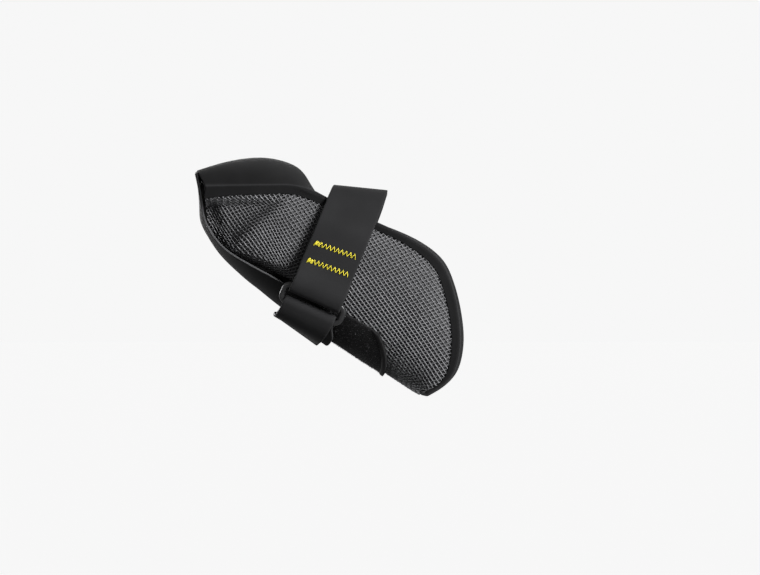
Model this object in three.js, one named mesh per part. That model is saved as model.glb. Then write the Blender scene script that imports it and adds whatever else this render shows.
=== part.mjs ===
// A bicycle tool bag that hangs by a strap. A hollow woven pouch has a black laminate spine over its top
// and front, a flap that closes the mouth at its rear, and one strap that runs round it through a ring.
// Millimetres, +X to the front of the bag, +Z up, and the ring on the -Y side, called the near side.
// The origin lies on the underside of the strap, midway between the two places where it bears.

import * as THREE from 'three';
import { mergeVertices } from 'three/addons/utils/BufferGeometryUtils.js';

// Thickness of each cloth, and the clearance that neighbours keep
const WOVEN_THICK = 1.2;
const LAMINATE_THICK = 1.1;
const PATCH_THICK = 1.4;
const STRAP_THICK = 1.4;
const CLEARANCE = 0.35;
const LAP_CLEARANCE = 0.75;

// Share of a section's depth at which the handle of its belly lies
const BELLY_HANDLE_DEPTH = 0.42;

// Share of the spine's turned-down edge that stands above the woven top edge
const WOVEN_TOP_SHARE = 0.62;

// The spine's lower end is tucked back under the floor by this much in x and z
const SPINE_TUCK = new THREE.Vector3(-5.0, 0, -0.6);

// Rows of SECTIONS between which the woven shell and the patch reach
const WOVEN_LAST_ROW = 14.1;
const PATCH_FIRST_ROW = 1.0;
const PATCH_LAST_ROW = 9.6;

// Patch: its reach up each side, the round of its front end in rows and how square it is, and the hem there
const PATCH_REACH = 0.42;
const PATCH_END_ROUND = 1.5;
const PATCH_END_SQUARE = 3;
const PATCH_HEM_WIDTH = 3.6;
const PATCH_HEM_RISE = 0.8;

// Strap and ring
const STRAP_WIDTH = 26;
const RING_PLACE = 81.6;
const RING_LENGTH = 33.0;
const RING_HEIGHT = 12.0;
const RING_BAR = 2.9;
const RING_SIDE = 2.7;
const RING_ROUND = 4.6;
const RING_HOLE_ROUND = 1.2;
const RING_BEVEL = 0.9;
const RING_EASING = 10;
const BAR_CLEARANCE = 0.6;
const SEWN_TAIL = 29;
const FOLDED_END = 44;
const FOLDED_RISE = 3.7;
const UNDER_SLIDE = 4.0;
const UNDER_SLIDE_FADE = [20, 55];

// One row for each section of the bag, from the mouth at the rear to the lower front tip.
// creaseX, creaseZ: edge where the spine turns down. floorX, floorZ: inside of the woven floor, mid-plane.
// halfTop, handle: half width inside at the crease, and the half width that the side is drawn towards.
// fullness: share of the handle's half width that the floor is drawn towards.
// bow: bend of the section to the rear. crown, lean: rise of the spine's middle, and its shift to the rear.
// square: flatness of the spine across. overlap: width of the spine's turned-down edge.
const SECTION_COLUMNS = ['creaseX', 'creaseZ', 'floorX', 'floorZ', 'halfTop', 'handle', 'fullness',
  'bow', 'crown', 'lean', 'square', 'overlap'];
const SECTIONS = [
  [-73.3, 2.9, -53.5, -38.0, 24.0, 25.5, 0.58, 5.0, 8.2, 3.8, 9.0, 5.3],
  [-60.0, 3.0, -46.8, -42.9, 25.0, 31.0, 0.58, 2.4, 12.4, 1.6, 3.4, 5.3],
  [-46.0, 3.1, -39.3, -49.0, 25.7, 34.0, 0.58, 0.6, 13.8, 0.0, 2.4, 5.3],
  [-33.0, 3.1, -31.0, -55.7, 26.0, 34.5, 0.58, 0.0, 10.2, 0.0, 2.4, 5.3],
  [-24.8, 1.2, -25.0, -60.0, 26.0, 34.5, 0.58, 0.0, 2.5, 0.0, 4.0, 5.2],
  [-15.2, -3.0, -19.5, -64.1, 26.0, 34.5, 0.58, 0.0, -3.6, 0.0, 6.0, 4.8],
  [-3.0, -9.8, -13.0, -69.1, 26.0, 34.5, 0.58, 0.0, -2.6, 0.0, 6.0, 4.2],
  [14.0, -17.6, -4.5, -74.8, 26.0, 34.5, 0.58, 0.0, 0.4, 0.0, 4.0, 3.9],
  [28.4, -24.9, 4.0, -80.3, 25.7, 34.0, 0.58, 0.0, 1.2, 0.0, 3.0, 4.5],
  [38.5, -33.2, 10.5, -84.4, 25.2, 33.0, 0.58, 0.0, 1.4, 0.0, 3.0, 5.3],
  [43.6, -43.4, 15.5, -87.8, 24.6, 31.5, 0.58, 0.0, 1.4, 0.0, 3.0, 5.6],
  [47.0, -57.5, 19.5, -90.4, 23.8, 28.4, 0.58, 0.0, 1.6, 0.0, 3.0, 5.2],
  [48.1, -72.0, 23.3, -92.9, 22.8, 25.0, 0.64, 0.0, 1.8, 0.0, 3.0, 4.8],
  [45.8, -84.6, 26.5, -94.9, 21.6, 22.3, 0.76, 0.0, 1.6, 0.0, 3.0, 3.6],
  [40.0, -92.3, 28.8, -96.1, 20.2, 19.8, 0.90, 0.0, 1.2, 0.0, 3.0, 1.9],
  [33.6, -97.0, 30.2, -97.0, 19.0, 19.0, 0.96, 0.0, 0.8, 0.0, 3.0, 0.6],
];

// One row for each soft dent pressed into both woven sides.
// A dent runs along a line in the side view, fades out over reach and is deepest by depth.
const DENT_COLUMNS = ['fromX', 'fromZ', 'toX', 'toZ', 'reach', 'depth'];
const DENTS = [
  [-66.0, -13.0, -39.0, -2.0, 6.0, 2.4],
  [-58.0, -29.0, -40.0, -41.0, 5.0, 1.0],
];

// One row for each station of the flap's outer face, from the fold at the top rear edge to its end.
// midX, midZ: mid-plane. edgeX, edgeZ: near and far edges. half: half width.
const FLAP_COLUMNS = ['midX', 'midZ', 'edgeX', 'edgeZ', 'half'];
const FLAP = [
  [-78.7, 10.2, -78.5, 8.0, 25.2],
  [-77.7, 1.4, -76.3, 1.0, 26.4],
  [-76.8, -6.0, -74.9, -5.6, 27.0],
  [-75.8, -14.0, -73.2, -13.2, 27.0],
  [-72.4, -22.0, -69.6, -21.0, 27.0],
  [-66.2, -31.2, -63.2, -29.0, 26.8],
  [-56.2, -41.4, -52.2, -35.6, 26.4],
  [-49.0, -47.1, -44.2, -39.8, 26.0],
  [-41.9, -52.9, -36.2, -44.4, 25.6],
  [-30.4, -61.8, -24.0, -52.2, 25.2],
  [-19.6, -69.8, -12.9, -59.5, 25.0],
];

// One row for each place on the strap's way from its top middle down the near side to the floor.
// x, y, z: middle of the strap on the surface beneath it. tilt: fall of its cross line to the front, degrees.
const STRAP_WAY_COLUMNS = ['x', 'y', 'z', 'tilt'];
const STRAP_WAY = [
  [0.0, 0.0, 0.0, 6.0],
  [0.0, -12.0, 0.0, 6.0],
  [0.0, -21.5, -0.1, 6.0],
  [-0.7, -24.7, -1.5, 9.0],
  [-1.8, -26.4, -4.4, 14.0],
  [-3.8, -29.2, -9.4, 20.0],
  [-6.2, -30.7, -15.4, 22.5],
  [-10.2, -31.0, -25.2, 22.8],
  [-14.8, -30.5, -36.0, 23.0],
  [-19.0, -29.0, -46.4, 23.4],
  [-22.4, -26.2, -53.4, 25.0],
  [-25.4, -20.0, -58.2, 31.0],
  [-27.6, -10.0, -62.1, 35.0],
  [-28.6, 0.0, -63.5, 35.5],
];

// Mesh steps of each cloth piece
const WOVEN_STEPS = { along: 34, across: 26 };
const SPINE_STEPS = { along: 34, across: 18 };
const FLAP_STEPS = { along: 22, across: 10 };
const PATCH_STEPS = { along: 22, across: 12 };
const STRAP_STEP = 5;
const STRAP_STEPS_ACROSS = 3;
const STRAP_ARC_DIVISIONS = 2000;
const BAR_WRAP_STEPS = 6;
const RING_BEVEL_STEPS = 2;
const RING_CORNER_STEPS = 5;
const NORMAL_STEP = 1e-3;
const DEPTH_HALVINGS = 24;

// Mesh steps that each turned-down edge of the spine takes, and where across the spine its crease lies
const SPINE_EDGE_STEPS = 2;
const SPINE_CREASE = 1 - 2 * SPINE_EDGE_STEPS / SPINE_STEPS.across;

// Reads one named column of a table at a row number that may lie between two rows
function tableReader(columns, rows) {
  const curves = {};
  columns.forEach((name, index) => {
    curves[name] = new THREE.SplineCurve(rows.map((row, i) => new THREE.Vector2(i, row[index])));
  });
  return (name, row) => curves[name].getPoint(THREE.MathUtils.clamp(row / (rows.length - 1), 0, 1)).y;
}

const sectionAt = tableReader(SECTION_COLUMNS, SECTIONS);
const flapAt = tableReader(FLAP_COLUMNS, FLAP);

// A point of the side view, x and z, at a distance to one side of the mid-plane
function sidePoint(flat, y) {
  return new THREE.Vector3(flat.x, y, flat.y);
}

// Side view of one section: its crease, its way down to the floor, its depth and the spine's outward side
function sectionFrame(row) {
  const creaseAt = (r) => new THREE.Vector2(sectionAt('creaseX', r), sectionAt('creaseZ', r));
  const crease = creaseAt(row);
  const floor = new THREE.Vector2(sectionAt('floorX', row), sectionAt('floorZ', row));
  const down = floor.sub(crease);
  const depth = down.length();
  down.normalize();
  const inside = THREE.MathUtils.clamp(row, NORMAL_STEP, SECTIONS.length - 1 - NORMAL_STEP);
  const forward = creaseAt(inside + NORMAL_STEP).sub(creaseAt(inside - NORMAL_STEP)).normalize();
  const outward = new THREE.Vector2(-forward.y, forward.x);
  const rearward = new THREE.Vector2(down.y, -down.x);
  const squareness = -down.dot(outward);
  return { crease, down, depth, outward, rearward, squareness };
}

// Depth of all dents together at a point of the side view
function dentDepth(flat) {
  let total = 0;
  for (const row of DENTS) {
    const dent = Object.fromEntries(DENT_COLUMNS.map((name, i) => [name, row[i]]));
    const from = new THREE.Vector3(dent.fromX, 0, dent.fromZ);
    const line = new THREE.Line3(from, new THREE.Vector3(dent.toX, 0, dent.toZ));
    const place = sidePoint(flat, 0);
    const distance = line.closestPointToPoint(place, true, new THREE.Vector3()).distanceTo(place);
    total += dent.depth * Math.exp(-((distance / dent.reach) ** 2));
  }
  return total;
}

// Half of one woven section as a curve of depth below the crease against half width
function sideProfile(row, frame) {
  const inset = Math.max(WOVEN_TOP_SHARE * sectionAt('overlap', row), LAMINATE_THICK + LAP_CLEARANCE);
  const top = inset / frame.squareness;
  const handle = sectionAt('handle', row);
  const handleDepth = top + BELLY_HANDLE_DEPTH * (frame.depth - top);
  return new THREE.CubicBezierCurve(
    new THREE.Vector2(top, sectionAt('halfTop', row)),
    new THREE.Vector2(handleDepth, handle),
    new THREE.Vector2(frame.depth, sectionAt('fullness', row) * handle),
    new THREE.Vector2(frame.depth, 0),
  );
}

// Inner face of the woven shell. round runs from -1 at the near crease over 0 on the floor to 1 at the far
function wovenInner(row, round) {
  const frame = sectionFrame(row);
  const place = sideProfile(row, frame).getPoint(1 - Math.abs(round));
  const share = place.x / frame.depth;
  const bow = 4 * sectionAt('bow', row) * share * (1 - share);
  const flat = frame.crease.clone().addScaledVector(frame.down, place.x).addScaledVector(frame.rearward, bow);
  const half = Math.max(place.y - dentDepth(flat) * (1 - share), 0);
  return sidePoint(flat, Math.sign(round) * half);
}

// Round value at which the near side reaches a given depth below the crease
function roundAtDepth(row, depth) {
  const profile = sideProfile(row, sectionFrame(row));
  let low = 0;
  let high = 1;
  for (let halving = 0; halving < DEPTH_HALVINGS; halving += 1) {
    const middle = (low + high) / 2;
    if (profile.getPoint(middle).x < depth) {
      low = middle;
    } else {
      high = middle;
    }
  }
  return low - 1;
}

// Unit normal of a surface given as a function of two parameters
function surfaceNormal(surface, a, b) {
  const alongA = surface(a + NORMAL_STEP, b).sub(surface(a - NORMAL_STEP, b));
  const alongB = surface(a, b + NORMAL_STEP).sub(surface(a, b - NORMAL_STEP));
  return alongB.cross(alongA).normalize();
}

// A point raised from a surface along its normal
function raised(surface, a, b, rise) {
  return surface(a, b).addScaledVector(surfaceNormal(surface, a, b), rise);
}

// Inner face of the spine. across runs from -1 at the near lower edge to 1 at the far one
function spineInner(row, across) {
  const frame = sectionFrame(row);
  const side = Math.sign(across) || 1;
  const half = sectionAt('halfTop', row) + WOVEN_THICK + LAP_CLEARANCE;
  const base = frame.crease.clone().addScaledVector(frame.outward, -LAMINATE_THICK);
  const ratio = Math.abs(across) / SPINE_CREASE;
  if (ratio <= 1) {
    const rise = 1 - ratio ** sectionAt('square', row);
    base.addScaledVector(frame.outward, sectionAt('crown', row) * rise);
    base.x -= sectionAt('lean', row) * rise;
    return sidePoint(base, side * half * ratio);
  }
  const edgeDepth = sectionAt('overlap', row) / frame.squareness;
  const edge = raised(wovenInner, row, roundAtDepth(row, edgeDepth), WOVEN_THICK + LAP_CLEARANCE);
  edge.y *= -side;
  const runOut = Math.min(edgeDepth / sideProfile(row, frame).v0.x, 1);
  const share = (Math.abs(across) - SPINE_CREASE) / (1 - SPINE_CREASE);
  return sidePoint(base, side * half).lerp(edge, share * runOut);
}

// Outer face of the flap. across runs from -1 at the near edge to 1 at the far one
function flapOuter(row, across) {
  const middle = new THREE.Vector2(flapAt('midX', row), flapAt('midZ', row));
  const edge = new THREE.Vector2(flapAt('edgeX', row), flapAt('edgeZ', row));
  return sidePoint(middle.lerp(edge, across ** 2), across * flapAt('half', row));
}

// A closed cloth solid: a slab whose vertices are moved to point(along, across, through), each from 0 to 1
function bentSlab(steps, point) {
  const slab = new THREE.BoxGeometry(1, 1, 1, steps.along, steps.across, 1);
  slab.deleteAttribute('normal');
  slab.deleteAttribute('uv');
  const geometry = mergeVertices(slab);
  const place = geometry.getAttribute('position');
  for (let i = 0; i < place.count; i += 1) {
    const moved = point(place.getX(i) + 0.5, place.getY(i) + 0.5, place.getZ(i) + 0.5);
    place.setXYZ(i, moved.x, moved.y, moved.z);
  }
  geometry.computeVertexNormals();
  return geometry;
}

function sideShell() {
  return bentSlab(WOVEN_STEPS, (along, across, through) => (
    raised(wovenInner, along * WOVEN_LAST_ROW, 1 - 2 * across, through * WOVEN_THICK)));
}

// The spine's last ring of vertices is the tucked end. Its turned-down edges stay where they meet the tip
function spineBand() {
  const lastRow = SECTIONS.length - 1;
  const lastRing = (SPINE_STEPS.along - 1) / SPINE_STEPS.along;
  return bentSlab(SPINE_STEPS, (along, across, through) => {
    const row = Math.min(along / lastRing, 1) * lastRow;
    const side = 2 * across - 1;
    const point = raised(spineInner, row, side, -through * LAMINATE_THICK);
    if (along <= lastRing) {
      return point;
    }
    const onEdge = Math.max(Math.abs(side) - SPINE_CREASE, 0) / (1 - SPINE_CREASE);
    return point.addScaledVector(SPINE_TUCK, 1 - onEdge);
  });
}

function closureFlap() {
  const lastRow = FLAP.length - 1;
  return bentSlab(FLAP_STEPS, (along, across, through) => (
    raised(flapOuter, along * lastRow, 1 - 2 * across, (through - 1) * LAMINATE_THICK)));
}

// The patch lies on the floor. Its front end is round, and a hem is raised along that end
function loopPatch() {
  const base = WOVEN_THICK + CLEARANCE;
  const length = wovenInner(PATCH_FIRST_ROW, 0).distanceTo(wovenInner(PATCH_LAST_ROW, 0));
  const hemStart = 1 - PATCH_HEM_WIDTH / length;
  return bentSlab(PATCH_STEPS, (along, across, through) => {
    const side = 1 - 2 * across;
    const lastRow = PATCH_LAST_ROW - PATCH_END_ROUND * Math.abs(side) ** PATCH_END_SQUARE;
    const row = PATCH_FIRST_ROW + along * (lastRow - PATCH_FIRST_ROW);
    const hem = along > hemStart ? PATCH_HEM_RISE : 0;
    return raised(wovenInner, row, side * PATCH_REACH, base + through * (PATCH_THICK + hem));
  });
}

// The strap's way round the bag: a closed curve on what lies beneath it, with its cross line and outward side
const farWay = STRAP_WAY.slice(1, -1).reverse().map(([x, y, z, tilt]) => [x, -y, z, tilt]);
const wayRows = [...STRAP_WAY, ...farWay];
const wayCurve = new THREE.CatmullRomCurve3(wayRows.map(([x, y, z]) => new THREE.Vector3(x, y, z)), true);
wayCurve.arcLengthDivisions = STRAP_ARC_DIVISIONS;
const wayLength = wayCurve.getLength();
const wayColumn = tableReader(STRAP_WAY_COLUMNS, [...wayRows, wayRows[0]]);

function wayAt(distance) {
  const share = THREE.MathUtils.euclideanModulo(distance / wayLength, 1);
  const point = wayCurve.getPointAt(share);
  const tangent = wayCurve.getTangentAt(share);
  const tilt = THREE.MathUtils.degToRad(wayColumn('tilt', wayCurve.getUtoTmapping(share) * wayRows.length));
  const cross = new THREE.Vector3(Math.cos(tilt), 0, -Math.sin(tilt));
  const outward = tangent.clone().cross(cross).normalize();
  return { point, tangent, cross, outward };
}

// Rises of the strap's middle above what lies beneath it: lying on it, and lying on its own first layer
const FIRST_LAYER = CLEARANCE + STRAP_THICK / 2;
const SECOND_LAYER = FIRST_LAYER + STRAP_THICK + CLEARANCE;

// The ring's bars, and the radius at which the strap's middle turns round a bar
const BAR_SPACING = RING_HEIGHT - RING_BAR;
const BAR_WRAP = RING_BAR / 2 + BAR_CLEARANCE + STRAP_THICK / 2;
const ringFrame = wayAt(RING_PLACE);
const ringCentre = ringFrame.point.clone().addScaledVector(ringFrame.outward, FIRST_LAYER + BAR_WRAP);

// Stations of the strap's middle at a rise above its way, each with its cross line.
// Close to the ring it runs straight past the bars instead, on their inner side, -1, or outer side, 1.
// slide: how far it is shifted to the front below the ring
function strapRun(from, to, ringSide, riseAt, slide = 0) {
  const count = Math.max(2, Math.round(Math.abs(to - from) / STRAP_STEP));
  const stations = [];
  for (let i = 0; i <= count; i += 1) {
    const distance = THREE.MathUtils.lerp(from, to, i / count);
    const way = wayAt(distance);
    const point = way.point.addScaledVector(way.outward, riseAt(distance));
    const pastRing = THREE.MathUtils.euclideanModulo(distance, wayLength) - RING_PLACE;
    const slideLeft = 1 - THREE.MathUtils.smoothstep(Math.abs(pastRing), ...UNDER_SLIDE_FADE);
    point.addScaledVector(way.cross, slide * slideLeft);
    const atBar = RING_HEIGHT / 2 + CLEARANCE;
    const nearRing = 1 - THREE.MathUtils.smoothstep(Math.abs(pastRing), atBar, atBar + RING_EASING);
    const besideBars = ringCentre.clone()
      .addScaledVector(ringFrame.tangent, pastRing)
      .addScaledVector(ringFrame.outward, ringSide * BAR_WRAP);
    point.lerp(besideBars, nearRing);
    stations.push({ point, cross: way.cross.lerp(ringFrame.cross, nearRing).normalize() });
  }
  return stations;
}

// Stations of the strap's middle half way round a ring bar, from its inner side to its outer side
function barWrap(direction) {
  const bar = ringCentre.clone().addScaledVector(ringFrame.tangent, -direction * BAR_SPACING / 2);
  const stations = [];
  for (let i = 1; i < BAR_WRAP_STEPS; i += 1) {
    const angle = Math.PI * i / BAR_WRAP_STEPS;
    const point = bar.clone()
      .addScaledVector(ringFrame.outward, -BAR_WRAP * Math.cos(angle))
      .addScaledVector(ringFrame.tangent, direction * BAR_WRAP * Math.sin(angle));
    stations.push({ point, cross: ringFrame.cross });
  }
  return stations;
}

function strapStations() {
  const upperBar = RING_PLACE - BAR_SPACING / 2;
  const lowerBar = RING_PLACE + BAR_SPACING / 2;
  const tailStart = upperBar - SEWN_TAIL;
  const overTail = (distance) => {
    const share = THREE.MathUtils.smoothstep(distance, tailStart - RING_EASING, tailStart);
    return THREE.MathUtils.lerp(FIRST_LAYER, SECOND_LAYER, share);
  };
  return [
    ...strapRun(tailStart, upperBar, -1, () => FIRST_LAYER),
    ...barWrap(1),
    ...strapRun(upperBar, 0, 1, overTail),
    ...strapRun(-STRAP_STEP, lowerBar - wayLength, -1, () => FIRST_LAYER, UNDER_SLIDE),
    ...barWrap(-1),
    ...strapRun(lowerBar, lowerBar + FOLDED_END, 1, () => FOLDED_RISE),
  ];
}

function hangingStrap() {
  const stations = strapStations();
  const steps = { along: stations.length - 1, across: STRAP_STEPS_ACROSS };
  return bentSlab(steps, (along, across, through) => {
    const index = Math.round(along * steps.along);
    const before = stations[Math.max(index - 1, 0)].point;
    const after = stations[Math.min(index + 1, steps.along)].point;
    const { point, cross } = stations[index];
    const face = after.clone().sub(before).cross(cross).normalize();
    return point.clone()
      .addScaledVector(cross, (across - 0.5) * STRAP_WIDTH)
      .addScaledVector(face, (through - 0.5) * STRAP_THICK);
  });
}

// A rectangle with round corners, centred on the origin
function roundedRectangle(outline, width, height, radius) {
  const x = width / 2 - radius;
  const y = height / 2 - radius;
  outline.absarc(x, y, radius, 0, Math.PI / 2);
  outline.absarc(-x, y, radius, Math.PI / 2, Math.PI);
  outline.absarc(-x, -y, radius, Math.PI, 1.5 * Math.PI);
  outline.absarc(x, -y, radius, 1.5 * Math.PI, 2 * Math.PI);
  return outline;
}

function strapRing() {
  const inset = 2 * RING_BEVEL;
  const length = RING_LENGTH - inset;
  const height = RING_HEIGHT - inset;
  const outer = roundedRectangle(new THREE.Shape(), length, height, RING_ROUND - RING_BEVEL);
  const holeLength = RING_LENGTH - 2 * RING_SIDE + inset;
  const holeHeight = RING_HEIGHT - 2 * RING_BAR + inset;
  outer.holes.push(roundedRectangle(new THREE.Path(), holeLength, holeHeight, RING_HOLE_ROUND + RING_BEVEL));
  const geometry = new THREE.ExtrudeGeometry(outer, {
    depth: RING_BAR - inset,
    bevelThickness: RING_BEVEL,
    bevelSize: RING_BEVEL,
    bevelSegments: RING_BEVEL_STEPS,
    curveSegments: RING_CORNER_STEPS,
  });
  return geometry.translate(0, 0, RING_BEVEL - RING_BAR / 2);
}

// Materials and the assembled bag
const WOVEN_GREY = new THREE.MeshStandardMaterial({ color: 0x6f7072, roughness: 0.85, metalness: 0 });
const LAMINATE_BLACK = new THREE.MeshStandardMaterial({ color: 0x2a2a2c, roughness: 0.6, metalness: 0 });
const PATCH_BLACK = new THREE.MeshStandardMaterial({ color: 0x1d1d1f, roughness: 0.95, metalness: 0 });
const STRAP_BLACK = new THREE.MeshStandardMaterial({ color: 0x29292b, roughness: 0.65, metalness: 0 });
const RING_BLACK = new THREE.MeshStandardMaterial({ color: 0x1b1b1c, roughness: 0.45, metalness: 0 });

function piece(name, geometry, material) {
  const mesh = new THREE.Mesh(geometry, material);
  mesh.name = name;
  return mesh;
}

const ring = piece('strap_ring', strapRing(), RING_BLACK);
const ringTurn = new THREE.Matrix4().makeBasis(
  ringFrame.cross,
  ringFrame.outward.clone().cross(ringFrame.cross),
  ringFrame.outward,
);
ring.quaternion.setFromRotationMatrix(ringTurn);
ring.position.copy(ringCentre);

const bag = new THREE.Group();
bag.name = 'bicycle_tool_bag';
bag.add(
  piece('side_shell', sideShell(), WOVEN_GREY),
  piece('spine_band', spineBand(), LAMINATE_BLACK),
  piece('closure_flap', closureFlap(), LAMINATE_BLACK),
  piece('loop_patch', loopPatch(), PATCH_BLACK),
  piece('hanging_strap', hangingStrap(), STRAP_BLACK),
  ring,
);

export default bag;
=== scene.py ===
"""Looks of a bicycle tool bag: woven pouch, laminate spine and flap, pile patch, strap, ring and seams.

Shapes are worked out in millimetres in the part's own frame and become metres when a mesh is made.
The near side is the -Y side, where the ring lies.
"""

import math
from collections import namedtuple

import bmesh
import bpy
import numpy as np
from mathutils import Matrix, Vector


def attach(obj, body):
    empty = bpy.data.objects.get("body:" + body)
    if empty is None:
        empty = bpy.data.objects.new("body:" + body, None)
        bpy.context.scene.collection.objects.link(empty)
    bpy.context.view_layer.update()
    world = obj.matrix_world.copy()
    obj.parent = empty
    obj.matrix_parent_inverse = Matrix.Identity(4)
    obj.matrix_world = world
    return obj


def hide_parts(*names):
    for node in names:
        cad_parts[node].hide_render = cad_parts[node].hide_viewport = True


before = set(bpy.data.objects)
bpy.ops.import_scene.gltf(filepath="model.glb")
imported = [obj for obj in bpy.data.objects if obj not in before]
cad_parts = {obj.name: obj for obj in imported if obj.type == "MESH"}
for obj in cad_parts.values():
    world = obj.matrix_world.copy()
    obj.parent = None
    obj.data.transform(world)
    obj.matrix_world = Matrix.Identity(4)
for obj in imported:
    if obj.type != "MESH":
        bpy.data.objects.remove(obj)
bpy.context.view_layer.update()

MM = 0.001
BODY = "root"

# Cloth thickness, clearances and the shares that shape a section
WOVEN_THICK = 1.2
LAMINATE_THICK = 1.1
PATCH_THICK = 1.4
STRAP_THICK = 1.4
CLEARANCE = 0.35
LAP_CLEARANCE = 0.75
LAP_HUG = 0.18
LAP_THINNING = 0.45
BELLY_HANDLE_DEPTH = 0.42
WOVEN_TOP_SHARE = 0.62
LEAST_INSET = 0.3
TIP_ROWS = (12.8, 14.4)
WOVEN_LAST_ROW = 14.8
YARN_LAST_ROW = 14.4

# Place round a section that is just short of the middle of the floor, on the near side
FLOOR_ROUND = -1e-4

# Spine: places across it as shares of the way to its edge, the bead on its crease, the pinch in the crease
# beside the strap, its tucked lower end, the painted highlight along its crease and the rubbing of its cut
# edges
SPINE_CREASE = 7 / 9
SPINE_ACROSS = (0, 0.12, 0.24, 0.36, 0.47, 0.57, 0.65, 0.71, 0.745, SPINE_CREASE,
                0.80, 0.83, 0.88, 0.94, 0.985, 1.0)
CREASE_BEAD = 0.22
CREASE_BEAD_WIDTH = 0.014
CREASE_BEAD_END = (13.5, 14.8)
PINCH_RISE = 0.7
PINCH_ROW = 4.1
PINCH_ROW_WIDTH = 0.4
PINCH_ACROSS = 0.05
SPINE_TUCK = np.array([-3.0, 0.0, 0.7])
SPINE_TUCK_STEPS = np.array([0.0, 0.3, 0.65, 0.95, 1.0])
CREASE_HIGHLIGHT = 0.7
CREASE_HIGHLIGHT_WIDTH = 0.01
SPINE_EDGE_WEAR = 0.3

# Rows of the flap between which the painted highlight along its edges begins and ends
FLAP_HIGHLIGHT_BEGINS = (1.2, 3.0)
FLAP_HIGHLIGHT_ENDS = (8.2, 8.8)

# Pile patch: its rows on the bag, its round end and its hem. HEM_STEP_UP tells how far from the hem's
# start, as shares of the patch's length, the grid before it ends and the slope up to it begins and ends
PATCH_FIRST_ROW = 1.0
PATCH_LAST_ROW = 9.45
PATCH_REACH = 0.42
PATCH_END_ROUND = 1.5
PATCH_END_SQUARE = 3
PATCH_HEM_WIDTH = 3.0
PATCH_HEM_RISE = 0.8
HEM_STEP_UP = (-0.01, -0.008, 0.006)

# Loops of the pile: how many, the shares of the patch they cover, and their shape
PILE_PER_SQUARE_METRE = 1.35e6
PILE_SPANS = ((0.01, 0.955), (-0.985, 0.985))
PILE_LOOP = 0.40
PILE_LOOP_RANGE = (0.6, 1.35)
PILE_LOOP_SWEEP = 3.9
PILE_LEAN = 0.7
FULL_TURN = 6.283
PILE_LOOP_POINTS = 6
PILE_HAIR_SIDES = 3
PILE_HAIR_RADIUS = 0.06

# Strap and ring
STRAP_WIDTH = 26.0
STRAP_STEP = 2.2
STRAP_WRAP_STEPS = 10
STRAP_WEAR = 0.3
# Edge value of the folded end's rear edge: a painted highlight
FOLDED_EDGE_HIGHLIGHT = 0.85
RING_PLACE = 81.6
RING_LENGTH = 33.0
RING_HEIGHT = 12.0
RING_BAR = 2.9
RING_SIDE = 2.7
RING_ROUND = 4.6
RING_EASING = 10.0
BAR_CLEARANCE = 0.6
SEWN_TAIL = 29.0
FOLDED_END = 44.0
FOLDED_RISE = 3.7
FOLDED_BRIDGE = 1.8
FOLDED_EASING = 18.0
FOLDED_LANDING = (RING_PLACE + 8, RING_PLACE + 27)
UNDER_SLIDE = 4.0
FOLDED_SLIDE = -0.8
UNDER_SLIDE_FADE = (20, 55)

# One row for each section of the bag, from the mouth at the rear to the lower front tip
SECTION_COLUMNS = ("crease_x", "crease_z", "floor_x", "floor_z", "half_top", "handle", "fullness",
                   "bow", "crown", "lean", "square", "overlap")
SECTIONS = (
    (-73.3, 2.9, -53.5, -38.0, 24.0, 25.5, 0.58, 8.0, 7.3, 4.5, 9.0, 5.3),
    (-60.0, 3.0, -46.8, -42.9, 25.0, 32.5, 0.58, 2.4, 12.4, 1.6, 3.4, 5.3),
    (-46.0, 3.1, -39.3, -49.0, 25.7, 35.4, 0.58, 0.6, 13.8, 0.0, 2.4, 5.3),
    (-33.0, 3.1, -31.0, -55.7, 26.0, 35.4, 0.58, 0.0, 10.2, 0.0, 2.4, 5.3),
    (-24.8, 1.2, -25.0, -60.0, 26.0, 34.5, 0.58, 0.0, 2.5, 0.0, 4.0, 5.2),
    (-15.2, -3.0, -19.5, -64.1, 26.0, 34.5, 0.58, 0.0, -3.6, 0.0, 6.0, 4.8),
    (-3.0, -9.8, -13.0, -69.1, 26.0, 34.5, 0.58, 0.0, -2.6, 0.0, 6.0, 4.2),
    (14.0, -17.6, -4.5, -74.8, 26.0, 34.5, 0.58, 0.0, 0.4, 0.0, 4.0, 3.9),
    (28.4, -24.9, 4.0, -80.3, 25.7, 34.0, 0.58, 0.0, 1.2, 0.0, 3.0, 4.5),
    (38.5, -33.2, 10.5, -84.4, 25.2, 33.0, 0.58, 0.0, 1.4, 0.0, 3.0, 5.3),
    (43.6, -43.4, 15.5, -87.8, 24.6, 31.5, 0.58, 0.0, 1.4, 0.0, 3.0, 5.6),
    (47.0, -57.5, 19.5, -90.4, 23.8, 28.4, 0.58, 0.0, 1.6, 0.0, 3.0, 5.2),
    (48.1, -72.0, 23.3, -92.9, 22.8, 25.0, 0.64, 0.0, 1.8, 0.0, 3.0, 4.8),
    (45.8, -84.6, 26.5, -94.9, 21.6, 22.3, 0.76, 0.0, 1.6, 0.0, 3.0, 3.6),
    (40.0, -92.3, 28.8, -96.1, 20.2, 19.8, 0.90, 0.0, 1.2, 0.0, 3.0, 1.9),
    (32.0, -97.7, 30.2, -97.0, 19.0, 19.0, 0.96, 0.0, 0.8, 0.0, 3.0, 0.6),
)

# One row for each fold of both woven sides: its crest, a line in the side view, to the left of which the
# cloth sinks; how soon it sinks, how soft the crest is, 1 being sharp, and how deep it sinks
Fold = namedtuple("Fold", "from_x from_z to_x to_z reach softness depth")
FOLDS = (
    (-57.0, -24.0, -31.0, -1.6, 9.0, 1.0, 14.0),
    (-60.4, -27.0, -64.8, -4.0, 7.5, 2.0, 16.0),
    (-35.4, -34.6, -60.4, -25.4, 6.0, 2.0, 13.0),
)
FOLD_END = 9.0
FOLD_FADE = (0.09, 0.20)

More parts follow.
